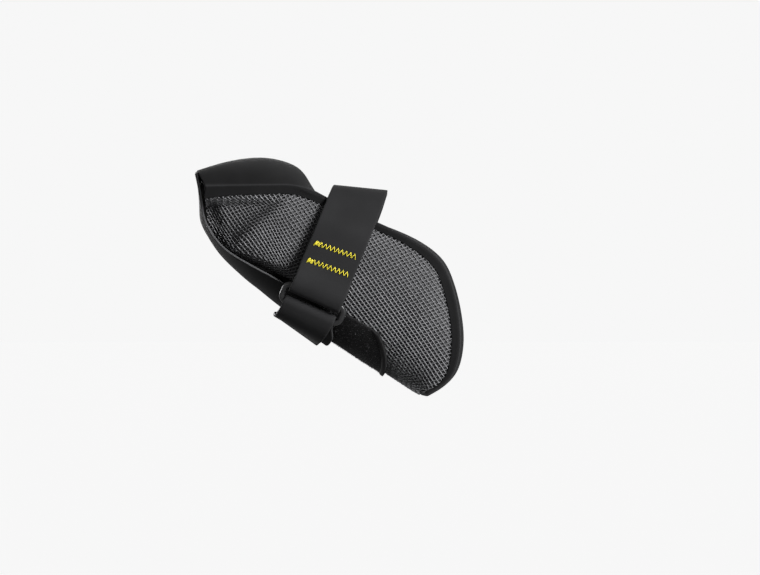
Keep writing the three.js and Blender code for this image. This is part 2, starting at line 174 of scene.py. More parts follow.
# One row for each station of the flap's outer face, from the fold at the top rear edge to its end
FLAP_COLUMNS = ("mid_x", "mid_z", "edge_x", "edge_z", "half")
FLAP = (
    (-78.7, 10.2, -78.5, 8.0, 25.2),
    (-78.0, 1.4, -76.9, 1.0, 26.4),
    (-77.6, -6.0, -75.7, -5.6, 27.0),
    (-77.2, -14.0, -74.3, -13.4, 27.0),
    (-73.3, -22.0, -70.4, -21.2, 27.0),
    (-66.9, -31.2, -63.2, -29.0, 26.8),
    (-56.2, -41.4, -52.2, -35.6, 26.4),
    (-49.0, -47.1, -44.2, -39.8, 26.0),
    (-41.9, -52.9, -36.2, -44.4, 25.6),
    (-30.4, -61.8, -24.0, -52.2, 25.2),
    (-19.6, -69.8, -12.9, -59.5, 25.0),
)

# One row for each place on the strap's way from its top middle down the near side to the floor
STRAP_WAY_COLUMNS = ("x", "y", "z", "tilt")
STRAP_WAY = (
    (0.0, 0.0, 0.0, 6.0),
    (0.0, -12.0, 0.0, 6.0),
    (0.0, -21.5, -0.1, 6.0),
    (-0.7, -24.7, -1.5, 9.0),
    (-1.8, -26.4, -4.4, 14.0),
    (-3.8, -29.2, -9.4, 20.0),
    (-6.2, -30.7, -15.4, 22.5),
    (-10.2, -31.0, -25.2, 22.8),
    (-14.8, -30.5, -36.0, 23.0),
    (-19.0, -29.0, -46.4, 23.4),
    (-22.4, -26.2, -53.4, 25.0),
    (-25.4, -20.0, -58.2, 31.0),
    (-27.6, -10.0, -62.1, 35.0),
    (-28.6, 0.0, -63.5, 35.5),
)

# One row for each zig-zag seam: place along the strap, its length across the strap and its turn in degrees
Seam = namedtuple("Seam", "name place length turn")
STITCH_ROWS = (
    ("zigzag_seam_upper", 55.2, 20.6, 3.5),
    ("zigzag_seam_lower", 63.9, 20.6, 2.5),
)
STITCH_ZIGS = 10
STITCH_HEIGHT = 2.4
TACK_LENGTH = 2.6
TACK_ZIGS = 3
TACK_HEIGHT = 1.9
THREAD_RADIUS = 0.21
THREAD_SIDES = 8
THREAD_LIFT = 0.6
POINTS_PER_STROKE = 6.0
SEAM_POINTS = 12

# Weave: spacing along each yarn, direction of the yarns in the side view in degrees, and yarn section
WEAVE_ALONG_ROW = 1.9
WEAVE_ALONG_COLUMN = 1.66
ROW_YARN_ANGLE = 21.0
COLUMN_YARN_ANGLE = -54.0
YARN_WIDTH = 1.3
YARN_THICK = 0.42
YARN_WAVE = 0.15
YARN_STEP = 0.6
WEAVE_CENTRE = (-12.0, -45.0)
WEAVE_REACH = 100.0
YARN_SIDES = 6

# Small steps for slopes, halvings of a search, and points between two rows of the strap's way
NORMAL_STEP = 1e-3
WAY_PROBE = 0.5
SEARCH_HALVINGS = 24
WAY_STEPS = 60

# Mesh steps along and across each wall, and the size of the extra step at its edges
WOVEN_STEPS, WOVEN_RIMS = (90, 81), (0.02, 0.006)
YARN_FACE_STEPS = (150, 90)
SPINE_STEPS, SPINE_RIM = 70, 0.04
FLAP_STEPS, FLAP_RIMS = (40, 21), (0.03, 0.015)
PATCH_STEPS, PATCH_RIMS = (44, 35), (0.004, 0.012)
HEM_STEPS, HEM_RIM = 5, 0.005
PILE_FACE_STEPS = (60, 44)
STRAP_ACROSS_STEPS, STRAP_RIM = 7, 0.016


# Shape functions

def unit(vectors):
    return vectors / np.linalg.norm(vectors, axis=-1, keepdims=True)


def smoothstep(value, low, high):
    share = np.clip((value - low) / (high - low), 0, 1)
    return share * share * (3 - 2 * share)


def table_reader(columns, rows):
    """Reads a named column at row numbers that may lie between two rows."""
    values = np.array(rows, float)
    last = len(rows) - 1

    def read(name, row):
        column = values[:, columns.index(name)]
        row = np.clip(np.asarray(row, float), 0, last)
        start = np.minimum(row.astype(int), last - 1)
        t = row - start
        before, here, there, after = (column[np.clip(start + k, 0, last)] for k in (-1, 0, 1, 2))
        slope_here = (there - before) / 2
        slope_there = (after - here) / 2
        cubic = 2 * here - 2 * there + slope_here + slope_there
        square = 3 * there - 3 * here - 2 * slope_here - slope_there
        return ((cubic * t + square) * t + slope_here) * t + here

    return read


section_at = table_reader(SECTION_COLUMNS, SECTIONS)
flap_at = table_reader(FLAP_COLUMNS, FLAP)
LAST_SECTION = len(SECTIONS) - 1
LAST_FLAP = len(FLAP) - 1


def side_point(flat, y):
    """Points of the side view, x and z, at a distance to one side of the mid-plane."""
    return np.stack([flat[..., 0], y, flat[..., 1]], axis=-1)


def crease_at(row):
    return np.stack([section_at("crease_x", row), section_at("crease_z", row)], axis=-1)


def section_frame(row):
    """Side view of a section: crease, way down, depth, the spine's outward side, rearward side, squareness.

    Squareness is 1 where the way down is square to the crease.
    """
    crease = crease_at(row)
    floor = np.stack([section_at("floor_x", row), section_at("floor_z", row)], axis=-1)
    depth = np.linalg.norm(floor - crease, axis=-1)
    down = (floor - crease) / depth[..., None]
    inside = np.clip(row, NORMAL_STEP, LAST_SECTION - NORMAL_STEP)
    forward = unit(crease_at(inside + NORMAL_STEP) - crease_at(inside - NORMAL_STEP))
    outward = np.stack([-forward[..., 1], forward[..., 0]], axis=-1)
    rearward = np.stack([down[..., 1], -down[..., 0]], axis=-1)
    squareness = -(down * outward).sum(axis=-1)
    return crease, down, depth, outward, rearward, squareness


def fold_depth(flat):
    """Depth of all folds together at points of the side view."""
    total = np.zeros(flat.shape[:-1])
    for fold in map(Fold._make, FOLDS):
        start = np.array([fold.from_x, fold.from_z])
        line = np.array([fold.to_x, fold.to_z]) - start
        length = np.linalg.norm(line)
        along = (flat - start) @ line / length
        left = np.maximum((flat - start) @ np.array([-line[1], line[0]]) / length, 0)
        sunk = 1 - np.exp(-((left / fold.reach) ** fold.softness))
        on_line = smoothstep(along, -FOLD_END, 0) * (1 - smoothstep(along, length, length + FOLD_END))
        total += fold.depth * sunk * on_line
    return total


def woven_top(row, squareness):
    """Depth below the crease of the woven shell's top edge, which runs up to the crease at the tip."""
    least = (LAMINATE_THICK + LAP_CLEARANCE) * (1 - smoothstep(row, *TIP_ROWS)) + LEAST_INSET
    inset = np.maximum(WOVEN_TOP_SHARE * section_at("overlap", row), least)
    return inset / squareness


def side_profile(row, share, depth, squareness):
    """Depth and half width of a woven section; share runs from 0 at its top to 1 on the floor."""
    top = woven_top(row, squareness)
    handle = section_at("handle", row)
    handle_depth = top + BELLY_HANDLE_DEPTH * (depth - top)
    rest = 1 - share
    weights = (rest ** 3, 3 * rest ** 2 * share, 3 * rest * share ** 2, share ** 3)
    depths = (top, handle_depth, depth, depth)
    halves = (section_at("half_top", row), handle, section_at("fullness", row) * handle, 0.0)
    place = sum(w * d for w, d in zip(weights, depths))
    half = sum(w * h for w, h in zip(weights, halves))
    return place, half


def woven_section(row, round_):
    """Side view, half width and share of depth of the woven shell's inner face before its folds."""
    crease, down, depth, _, rearward, squareness = section_frame(row)
    place, half = side_profile(row, 1 - np.abs(round_), depth, squareness)
    share = place / depth
    bow = 4 * section_at("bow", row) * share * (1 - share)
    return crease + down * place[..., None] + rearward * bow[..., None], half, share


def woven_taut(row, round_):
    """Inner face of the woven shell before its folds, which the spine's edges are sewn along."""
    flat, half, _ = woven_section(row, round_)
    return side_point(flat, np.sign(round_) * half)


def woven_inner(row, round_):
    """Inner face of the woven shell; round_ runs from -1 at the near top over 0 on the floor to 1."""
    flat, half, share = woven_section(row, round_)
    fold = fold_depth(flat) * smoothstep(share, *FOLD_FADE)
    pressed = half ** 2 / (half + fold + NORMAL_STEP)
    return side_point(flat, np.sign(round_) * pressed)


def round_at_depth(row, edge_depth):
    """Near-side round value at which a section reaches a depth below the crease."""
    _, _, depth, _, _, squareness = section_frame(row)
    low = np.zeros_like(row)
    high = np.ones_like(row)
    for _ in range(SEARCH_HALVINGS):
        middle = (low + high) / 2
        above = side_profile(row, middle, depth, squareness)[0] < edge_depth
        low = np.where(above, middle, low)
        high = np.where(above, high, middle)
    return low - 1


def raised(surface, a, b, rise):
    """Points raised from a surface along its normal."""
    along_a = surface(a + NORMAL_STEP, b) - surface(a - NORMAL_STEP, b)
    along_b = surface(a, b + NORMAL_STEP) - surface(a, b - NORMAL_STEP)
    normal = unit(np.cross(along_b, along_a))
    return surface(a, b) + normal * np.asarray(rise)[..., None]


def spine_inner(row, across):
    """Inner face of the spine; across runs from -1 at the near lower edge to 1 at the far one."""
    crease, _, depth, outward, _, squareness = section_frame(row)
    side = np.where(across < 0, -1.0, 1.0)
    half = section_at("half_top", row) + WOVEN_THICK + LAP_CLEARANCE
    base = crease - outward * LAMINATE_THICK
    ratio = np.abs(across) / SPINE_CREASE
    rise = np.clip(1 - np.minimum(ratio, 1) ** section_at("square", row), 0, 1)
    top = base + outward * (section_at("crown", row) * rise)[..., None]
    top[..., 0] -= section_at("lean", row) * rise
    crown = side_point(top, side * half * np.minimum(ratio, 1))
    edge_depth = section_at("overlap", row) / squareness
    on_bag = np.clip(row, 0, LAST_SECTION)
    edge = raised(woven_taut, on_bag, round_at_depth(on_bag, edge_depth), WOVEN_THICK + LAP_HUG)
    edge[..., 1] *= -side
    run_out = np.minimum(edge_depth / woven_top(row, squareness), 1)
    share = np.clip((np.abs(across) - SPINE_CREASE) / (1 - SPINE_CREASE), 0, None) * run_out
    return crown + (edge - crown) * share[..., None]


def flap_outer(row, across):
    """Outer face of the flap; across runs from -1 at the near edge to 1 at the far one."""
    middle = np.stack([flap_at("mid_x", row), flap_at("mid_z", row)], axis=-1)
    edge = np.stack([flap_at("edge_x", row), flap_at("edge_z", row)], axis=-1)
    return side_point(middle + (edge - middle) * (across ** 2)[..., None], across * flap_at("half", row))


# The strap's way round the bag

def closed_curve(points, steps):
    """Dense points of a smooth closed curve through given points, with their row numbers."""
    count = len(points)
    t = np.arange(steps) / steps
    places, rows = [], []
    for i in range(count):
        p0, p1, p2, p3 = (points[(i + k) % count] for k in (-1, 0, 1, 2))
        d0, d1, d2 = (np.linalg.norm(b - a) ** 0.5 for a, b in ((p0, p1), (p1, p2), (p2, p3)))
        slope_1 = ((p1 - p0) / d0 - (p2 - p0) / (d0 + d1) + (p2 - p1) / d1) * d1
        slope_2 = ((p2 - p1) / d1 - (p3 - p1) / (d1 + d2) + (p3 - p2) / d2) * d1
        square = 3 * (p2 - p1) - 2 * slope_1 - slope_2
        cubic = 2 * (p1 - p2) + slope_1 + slope_2
        s = t[:, None]
        places.append(((cubic * s + square) * s + slope_1) * s + p1)
        rows.append(i + t)
    return np.vstack(places + [points[:1]]), np.append(np.concatenate(rows), count)


near_way = np.array(STRAP_WAY)
far_way = near_way[-2:0:-1] * np.array([1, -1, 1, 1])
way_rows = np.vstack([near_way, far_way])
way_points, way_numbers = closed_curve(way_rows[:, :3], WAY_STEPS)
way_steps = np.linalg.norm(np.diff(way_points, axis=0), axis=1)
way_distance = np.concatenate([[0], np.cumsum(way_steps)])
WAY_LENGTH = way_distance[-1]
way_tilt = table_reader(STRAP_WAY_COLUMNS, np.vstack([way_rows, way_rows[:1]]))("tilt", way_numbers)


def way_place(distance):
    wrapped = np.mod(distance, WAY_LENGTH)
    return np.stack([np.interp(wrapped, way_distance, way_points[:, k]) for k in range(3)], axis=-1)


def way_at(distance):
    """Point on the strap's way, its direction, its cross line to the front and its outward side."""
    tangent = unit(way_place(distance + WAY_PROBE) - way_place(distance - WAY_PROBE))
    tilt = np.radians(np.interp(np.mod(distance, WAY_LENGTH), way_distance, way_tilt))
    cross = np.stack([np.cos(tilt), np.zeros_like(tilt), -np.sin(tilt)], axis=-1)
    return way_place(distance), tangent, cross, unit(np.cross(tangent, cross))


FIRST_LAYER = CLEARANCE + STRAP_THICK / 2
SECOND_LAYER = FIRST_LAYER + STRAP_THICK + CLEARANCE
BAR_SPACING = RING_HEIGHT - RING_BAR
BAR_WRAP = RING_BAR / 2 + BAR_CLEARANCE + STRAP_THICK / 2
UPPER_BAR = RING_PLACE - BAR_SPACING / 2
LOWER_BAR = RING_PLACE + BAR_SPACING / 2
TAIL_START = UPPER_BAR - SEWN_TAIL
ring_point, ring_tangent, ring_cross, ring_outward = way_at(np.array(RING_PLACE))
ring_centre = ring_point + ring_outward * (FIRST_LAYER + BAR_WRAP)


def over_tail(distance):
    """Rise of the strap's outer layer, which climbs on to the sewn tail beneath it."""
    share = smoothstep(distance, TAIL_START - RING_EASING, TAIL_START)
    return FIRST_LAYER + (SECOND_LAYER - FIRST_LAYER) * share


def lying(distance):
    """Rise of the strap's layer that lies on the bag."""
    return np.full_like(distance, FIRST_LAYER)


def folded(distance):
    """Rise of the folded end, which bridges from the ring and lands on the layer beneath it."""
    return FOLDED_RISE + FOLDED_BRIDGE * (1 - smoothstep(distance, *FOLDED_LANDING))


def strap_run(start, end, ring_side, rise_at, step, slide=0.0, easing=RING_EASING):
    """Middle and cross line of the strap along its way; near the ring it runs straight past the bars.

    slide is how far it is shifted to the front below the ring, easing how softly it leaves the ring.
    """
    count = max(2, round(abs(end - start) / step))
    distance = np.linspace(start, end, count + 1)
    point, _, cross, outward = way_at(distance)
    point = point + outward * rise_at(distance)[:, None]
    past_ring = np.mod(distance, WAY_LENGTH) - RING_PLACE
    slide_left = slide * (1 - smoothstep(np.abs(past_ring), *UNDER_SLIDE_FADE))
    point = point + cross * slide_left[:, None]
    at_bar = RING_HEIGHT / 2 + CLEARANCE
    near_ring = 1 - smoothstep(np.abs(past_ring), at_bar, at_bar + easing)[:, None]
    beside_bars = ring_centre + past_ring[:, None] * ring_tangent + ring_side * BAR_WRAP * ring_outward
    point = point + (beside_bars - point) * near_ring
    return point, unit(cross + (ring_cross - cross) * near_ring)


def bar_wrap(direction, steps):
    """Middle of the strap half way round a ring bar, from its inner side to its outer side."""
    bar = ring_centre - direction * BAR_SPACING / 2 * ring_tangent
    angle = np.pi * np.arange(1, steps) / steps
    outwards = -np.cos(angle)[:, None] * ring_outward
    around = direction * np.sin(angle)[:, None] * ring_tangent
    return bar + BAR_WRAP * (outwards + around), np.tile(ring_cross, (steps - 1, 1))


def strap_stations():
    """Middle and cross line of the whole strap, from its sewn tail to its folded end."""
    step, wrap_steps = STRAP_STEP, STRAP_WRAP_STEPS
    runs = (
        strap_run(TAIL_START, UPPER_BAR, -1, lying, step),
        bar_wrap(1, wrap_steps),
        strap_run(UPPER_BAR, 0, 1, over_tail, step),
        strap_run(-step, LOWER_BAR - WAY_LENGTH, -1, lying, step, UNDER_SLIDE),
        bar_wrap(-1, wrap_steps),
        strap_run(LOWER_BAR, LOWER_BAR + FOLDED_END, 1, folded, step, FOLDED_SLIDE, FOLDED_EASING),
    )
    return np.vstack([run[0] for run in runs]), np.vstack([run[1] for run in runs])


# Mesh helpers

def new_object(name, mesh):
    thing = bpy.data.objects.new(name, mesh)
    bpy.context.scene.collection.objects.link(thing)
    return thing


def plain_mesh(name, points, faces=(), edges=()):
    """A mesh of points in millimetres."""
    mesh = bpy.data.meshes.new(name)
    mesh.from_pydata((points.reshape(-1, 3) * MM).tolist(), list(edges), np.asarray(faces).tolist())
    return mesh


def shade_smooth(mesh):
    mesh.polygons.foreach_set("use_smooth", np.ones(len(mesh.polygons), bool))


def grid_faces(count_a, count_b, offset=0):
    """Quads of a grid of count_a by count_b vertices."""
    index = np.arange(count_a * count_b).reshape(count_a, count_b) + offset
    corners = (index[:-1, :-1], index[1:, :-1], index[1:, 1:], index[:-1, 1:])
    return np.stack([c.ravel() for c in corners], axis=-1)


def put_uv(mesh, name, flat_mm):
    """A UV map in metres of cloth, from one flat place for each vertex."""
    loops = np.zeros(len(mesh.loops), np.int32)
    mesh.loops.foreach_get("vertex_index", loops)
    layer = mesh.uv_layers.new(name=name)
    layer.data.foreach_set("uv", (flat_mm[loops] * MM).astype(np.float32).ravel())


def put_value(mesh, name, values):
    layer = mesh.attributes.new(name, "FLOAT", "POINT")
    layer.data.foreach_set("value", np.asarray(values, np.float32).ravel())


def face_outwards(mesh):
    work = bmesh.new()
    work.from_mesh(mesh)
    bmesh.ops.recalc_face_normals(work, faces=work.faces)
    work.to_mesh(mesh)
    work.free()


def flat_lengths(points):
    """Distance along both directions of a grid of points, measured on its middle lines."""
    middle_b = points[:, points.shape[1] // 2]
    middle_a = points[points.shape[0] // 2]
    along_a = np.concatenate([[0], np.cumsum(np.linalg.norm(np.diff(middle_b, axis=0), axis=1))])
    along_b = np.concatenate([[0], np.cumsum(np.linalg.norm(np.diff(middle_a, axis=0), axis=1))])
    return along_a, along_b


def cloth_wall(name, lower, upper, material, levels, wear_and_highlight=0.0, cut=1.0):
    """A closed wall of cloth between two grids of points, with an edge value and a flat cloth map.

    worn is the edge value over the face and cut the one along its cut edges; they pale the finish, in
    places as painted highlight.
    """
    count_a, count_b = lower.shape[:2]
    half = count_a * count_b
    index = np.arange(half).reshape(count_a, count_b)
    rim = np.concatenate([index[0, :-1], index[:-1, -1], index[-1, :0:-1], index[:0:-1, 0]])
    after = np.roll(rim, -1)
    sides = np.stack([rim, after, after + half, rim + half], axis=-1)
    faces = np.vstack([grid_faces(count_a, count_b)[:, ::-1], grid_faces(count_a, count_b, half), sides])
    mesh = plain_mesh(name, np.stack([lower, upper]), faces)
    along_a, along_b = flat_lengths(upper)
    flat = np.stack(np.meshgrid(along_a, along_b, indexing="ij"), axis=-1).reshape(-1, 2)
    edge = np.zeros((count_a, count_b)) + wear_and_highlight
    cut = np.broadcast_to(cut, edge.shape)
    edge[[0, -1], :] = cut[[0, -1], :]
    edge[:, [0, -1]] = cut[:, [0, -1]]
    put_value(mesh, "edge", np.tile(edge.ravel(), 2))
    face_outwards(mesh)
    put_uv(mesh, "cloth", np.tile(flat, (2, 1)))
    mesh.materials.append(material)
    shade_smooth(mesh)
    thing = new_object(name, mesh)
    if levels:
        smooth = thing.modifiers.new("soft_edges", "SUBSURF")
        smooth.levels = levels
        smooth.render_levels = levels
    return thing


def rimmed(low, high, count, rim):
    """Even steps from low to high with an extra step close to each end."""
    steps = np.linspace(low, high, count)
    return np.concatenate([[low, low + rim], steps[1:-1], [high - rim, high]])


def mesh_grid(a_values, b_values):
    return np.meshgrid(np.asarray(a_values, float), np.asarray(b_values, float), indexing="ij")


def rimmed_grid(a_range, b_range, steps, rims):
    """A grid with an extra step close to each of its four edges."""
    return mesh_grid(rimmed(*a_range, steps[0], rims[0]), rimmed(*b_range, steps[1], rims[1]))


# Geometry Nodes helpers

def set_inputs(tree, node, inputs):
    """Sets a node's inputs, by socket index or name, to values or links."""
    for key, value in inputs.items():
        if isinstance(value, bpy.types.NodeSocket):
            tree.links.new(value, node.inputs[key])
        else:
            node.inputs[key].default_value = value


def add_node(tree, kind, inputs=None, **settings):
    """One node with its inputs and settings, which are its own properties."""
    node = tree.nodes.new(kind)
    for name, value in settings.items():
        setattr(node, name, value)
    set_inputs(tree, node, inputs or {})
    return node


def new_tree(name, inputs):
    """A Geometry Nodes tree with named inputs, and its input node."""
    tree = bpy.data.node_groups.new(name, "GeometryNodeTree")
    tree.interface.new_socket("Geometry", in_out="INPUT", socket_type="NodeSocketGeometry")
    for label, kind in inputs:
        tree.interface.new_socket(label, in_out="INPUT", socket_type=kind)
    tree.interface.new_socket("Geometry", in_out="OUTPUT", socket_type="NodeSocketGeometry")
    return tree, tree.nodes.new("NodeGroupInput")


def end_tree(tree, geometry, material):
    realized = add_node(tree, "GeometryNodeRealizeInstances", {0: geometry})
    painted = add_node(tree, "GeometryNodeSetMaterial", {
        "Geometry": realized.outputs[0], "Material": material})
    add_node(tree, "NodeGroupOutput", {0: painted.outputs[0]})


def grow(name, mesh, tree, values):
    """Runs a tree on a mesh and gives its result as a plain mesh object."""
    seedling = new_object(name + "_base", mesh)
    modifier = seedling.modifiers.new("grow", "NODES")
    modifier.node_group = tree
    for item in tree.interface.items_tree:
        if item.in_out == "INPUT" and item.name in values:
            modifier[item.identifier] = values[item.name]
    bpy.context.view_layer.update()
    grown = bpy.data.meshes.new_from_object(seedling.evaluated_get(bpy.context.evaluated_depsgraph_get()))
    bpy.data.objects.remove(seedling)
    grown.name = name
    return new_object(name, grown)


def math_node(tree, operation, first, second=0.0):
    return add_node(tree, "ShaderNodeMath", {0: first, 1: second}, operation=operation).outputs[0]


def scaled(tree, vector, factor):
    inputs = {0: vector, "Scale": factor}
    return add_node(tree, "ShaderNodeVectorMath", inputs, operation="SCALE").outputs[0]


def summed(tree, first, second):
    return add_node(tree, "ShaderNodeVectorMath", {0: first, 1: second}, operation="ADD").outputs[0]


def named_value(tree, name, kind):
    return add_node(tree, "GeometryNodeInputNamedAttribute", {"Name": name}, data_type=kind).outputs[0]


def swept(tree, curve, section):
    """Closed tubes of a section along curves."""
    return add_node(tree, "GeometryNodeCurveToMesh", {
        "Curve": curve.outputs[0], "Profile Curve": section.outputs[0], "Fill Caps": True}).outputs[0]


def stored(tree, geometry, name, value, kind, domain="POINT"):
    inputs = {"Geometry": geometry, "Name": name, "Value": value}
    node = add_node(tree, "GeometryNodeStoreNamedAttribute", inputs, data_type=kind, domain=domain)
    return node.outputs[0]


# Materials

def new_material(name):
    material = bpy.data.materials.new(name)
    material.use_nodes = True
    shader = material.node_tree.nodes["Principled BSDF"]
    return material, material.node_tree, shader


def noise_of(tree, scale, detail=3.0, roughness=0.55):
    place = add_node(tree, "ShaderNodeTexCoord")
    return add_node(tree, "ShaderNodeTexNoise", {"Vector": place.outputs["Object"], "Scale": scale,
                                                 "Detail": detail, "Roughness": roughness}).outputs["Fac"]


def ramp_of(tree, factor, stops):
    """A colour ramp through stops of position and colour."""
    node = add_node(tree, "ShaderNodeValToRGB", {"Fac": factor})
    elements = node.color_ramp.elements
    while len(elements) < len(stops):
        elements.new(0.5)
    for element, (position, colour) in zip(elements, stops):
        element.position = position
        element.color = (*colour, 1.0)
    return node.outputs["Color"]


def between(tree, factor, low, high):
    return add_node(tree, "ShaderNodeMapRange", {"Value": factor, "To Min": low, "To Max": high}).outputs[0]


def bump_of(tree, height, strength, distance, normal=None):
    inputs = {"Height": height, "Strength": strength, "Distance": distance}
    if normal is not None:
        inputs["Normal"] = normal
    return add_node(tree, "ShaderNodeBump", inputs).outputs[0]


def grey(value, blue=1.04):
    return (value, value, value * blue)


def noisy_finish(name, scale, stops, roughness, bump=None, more=None):
    """A finish whose colour, roughness and bumps follow one noise.

    bump is its strength and depth in metres, more the shader's other inputs.
    """
    material, tree, shader = new_material(name)
    noise = noise_of(tree, scale)
    set_inputs(tree, shader, {
        "Base Color": ramp_of(tree, noise, stops), "Roughness": between(tree, noise, *roughness)})
    if bump:
        set_inputs(tree, shader, {"Normal": bump_of(tree, noise, *bump)})
    set_inputs(tree, shader, more or {})
    return material


def yarn_grey():
    """Grey yarn: patchy dye, fine fibres and a dry sheen."""
    material, tree, shader = new_material("grey_yarn")
    dye = noise_of(tree, 90.0)
    fibre = noise_of(tree, 5200.0, detail=2.0)
    colour = ramp_of(tree, dye, ((0.30, grey(0.19)), (0.70, grey(0.25))))
    mixed = add_node(tree, "ShaderNodeMix", {"Factor": 0.35, 6: colour, 7: ramp_of(
        tree, fibre, ((0.25, grey(0.10)), (0.75, grey(0.36))))}, data_type="RGBA")
    set_inputs(tree, shader, {
        "Base Color": mixed.outputs[2], "Roughness": between(tree, fibre, 0.60, 0.85),
        "Normal": bump_of(tree, fibre, 0.35, 0.0001), "Specular IOR Level": 0.35, "Sheen Weight": 0.12})
    return material


def coated_black(name, dark, light, edge_wear_and_highlight, roughness, gloss):
    """Smooth coated cloth: fine grain, faint mottling and paler edges, from rubbing and from painted
    highlight.
    """
    material, tree, shader = new_material(name)
    mottle = noise_of(tree, 55.0, detail=4.0)
    grain = noise_of(tree, 2600.0, detail=2.0)
    handling = noise_of(tree, 14.0, detail=2.0)
    colour = ramp_of(tree, mottle, ((0.30, grey(dark)), (0.72, grey(light))))
    # The edge value pales the colour: painted highlight on the spine's crease, the flap's edges and the
    # strap's folded end, rubbing along other cut edges
    edge = add_node(tree, "ShaderNodeAttribute", attribute_name="edge").outputs["Fac"]
    pale_share = math_node(tree, "MULTIPLY", math_node(tree, "POWER", edge, 3.0), between(tree, grain, 0.4, 1.0))
    wear_and_highlight = (*grey(edge_wear_and_highlight), 1.0)
    mixed = add_node(tree, "ShaderNodeMix", {"Factor": pale_share, 6: colour, 7: wear_and_highlight}, data_type="RGBA")
    rough = math_node(tree, "ADD", between(tree, grain, roughness - 0.06, roughness + 0.06),
                      between(tree, handling, -0.08, 0.08))
    soft = bump_of(tree, mottle, 0.25, 0.0006)
    set_inputs(tree, shader, {
        "Base Color": mixed.outputs[2], "Roughness": rough, "Specular IOR Level": gloss,
        "Normal": bump_of(tree, grain, 0.22, 0.00012, soft), "Sheen Weight": 0.02})
    return material


def ring_black():
    """Moulded ring with a fine matte grain."""
    material, tree, shader = new_material("ring_black")
    grain = noise_of(tree, 2200.0)
    scuff = noise_of(tree, 120.0)
    set_inputs(tree, shader, {
        "Base Color": ramp_of(tree, scuff, ((0.3, grey(0.020)), (0.75, grey(0.034)))),
        "Roughness": between(tree, scuff, 0.24, 0.40), "Normal": bump_of(tree, grain, 0.15, 0.0001)})
    return material


# Pieces

def woven_backing(material):
    """The woven shell's wall beneath its yarns."""
    rows, rounds = rimmed_grid((0, WOVEN_LAST_ROW), (-1, 1), WOVEN_STEPS, WOVEN_RIMS)
    inner = woven_inner(rows, rounds)
    outer = raised(woven_inner, rows, rounds, WOVEN_THICK - YARN_THICK)
    return cloth_wall("woven_backing", inner, outer, material, 0)


def woven_face():
    """Near half of the shell's outer face with a flat cloth map, on which the yarns are laid."""
    row_steps, round_steps = YARN_FACE_STEPS
    rows, rounds = mesh_grid(np.linspace(0, YARN_LAST_ROW, row_steps),
                             np.linspace(-1, FLOOR_ROUND, round_steps))
    points = raised(woven_inner, rows, rounds, WOVEN_THICK - YARN_THICK / 2)
    steps = np.linalg.norm(np.diff(points, axis=1), axis=-1)
    arc = np.concatenate([np.zeros((row_steps, 1)), np.cumsum(steps, axis=1)], axis=1)
    flat = points[..., [0, 2]]
    straight = np.linalg.norm(flat - flat[:, :1], axis=-1)
    floor_line = unit(np.array(SECTIONS[-2][2:4]) - np.array(SECTIONS[0][2:4]))
    below = np.array([floor_line[1], -floor_line[0]])
    flat = flat + below * (arc - straight)[..., None] - np.array(WEAVE_CENTRE)
    mesh = plain_mesh("woven_face", points, grid_faces(row_steps, round_steps))
    put_uv(mesh, "cloth", flat.reshape(-1, 2))
    shade_smooth(mesh)
    return mesh


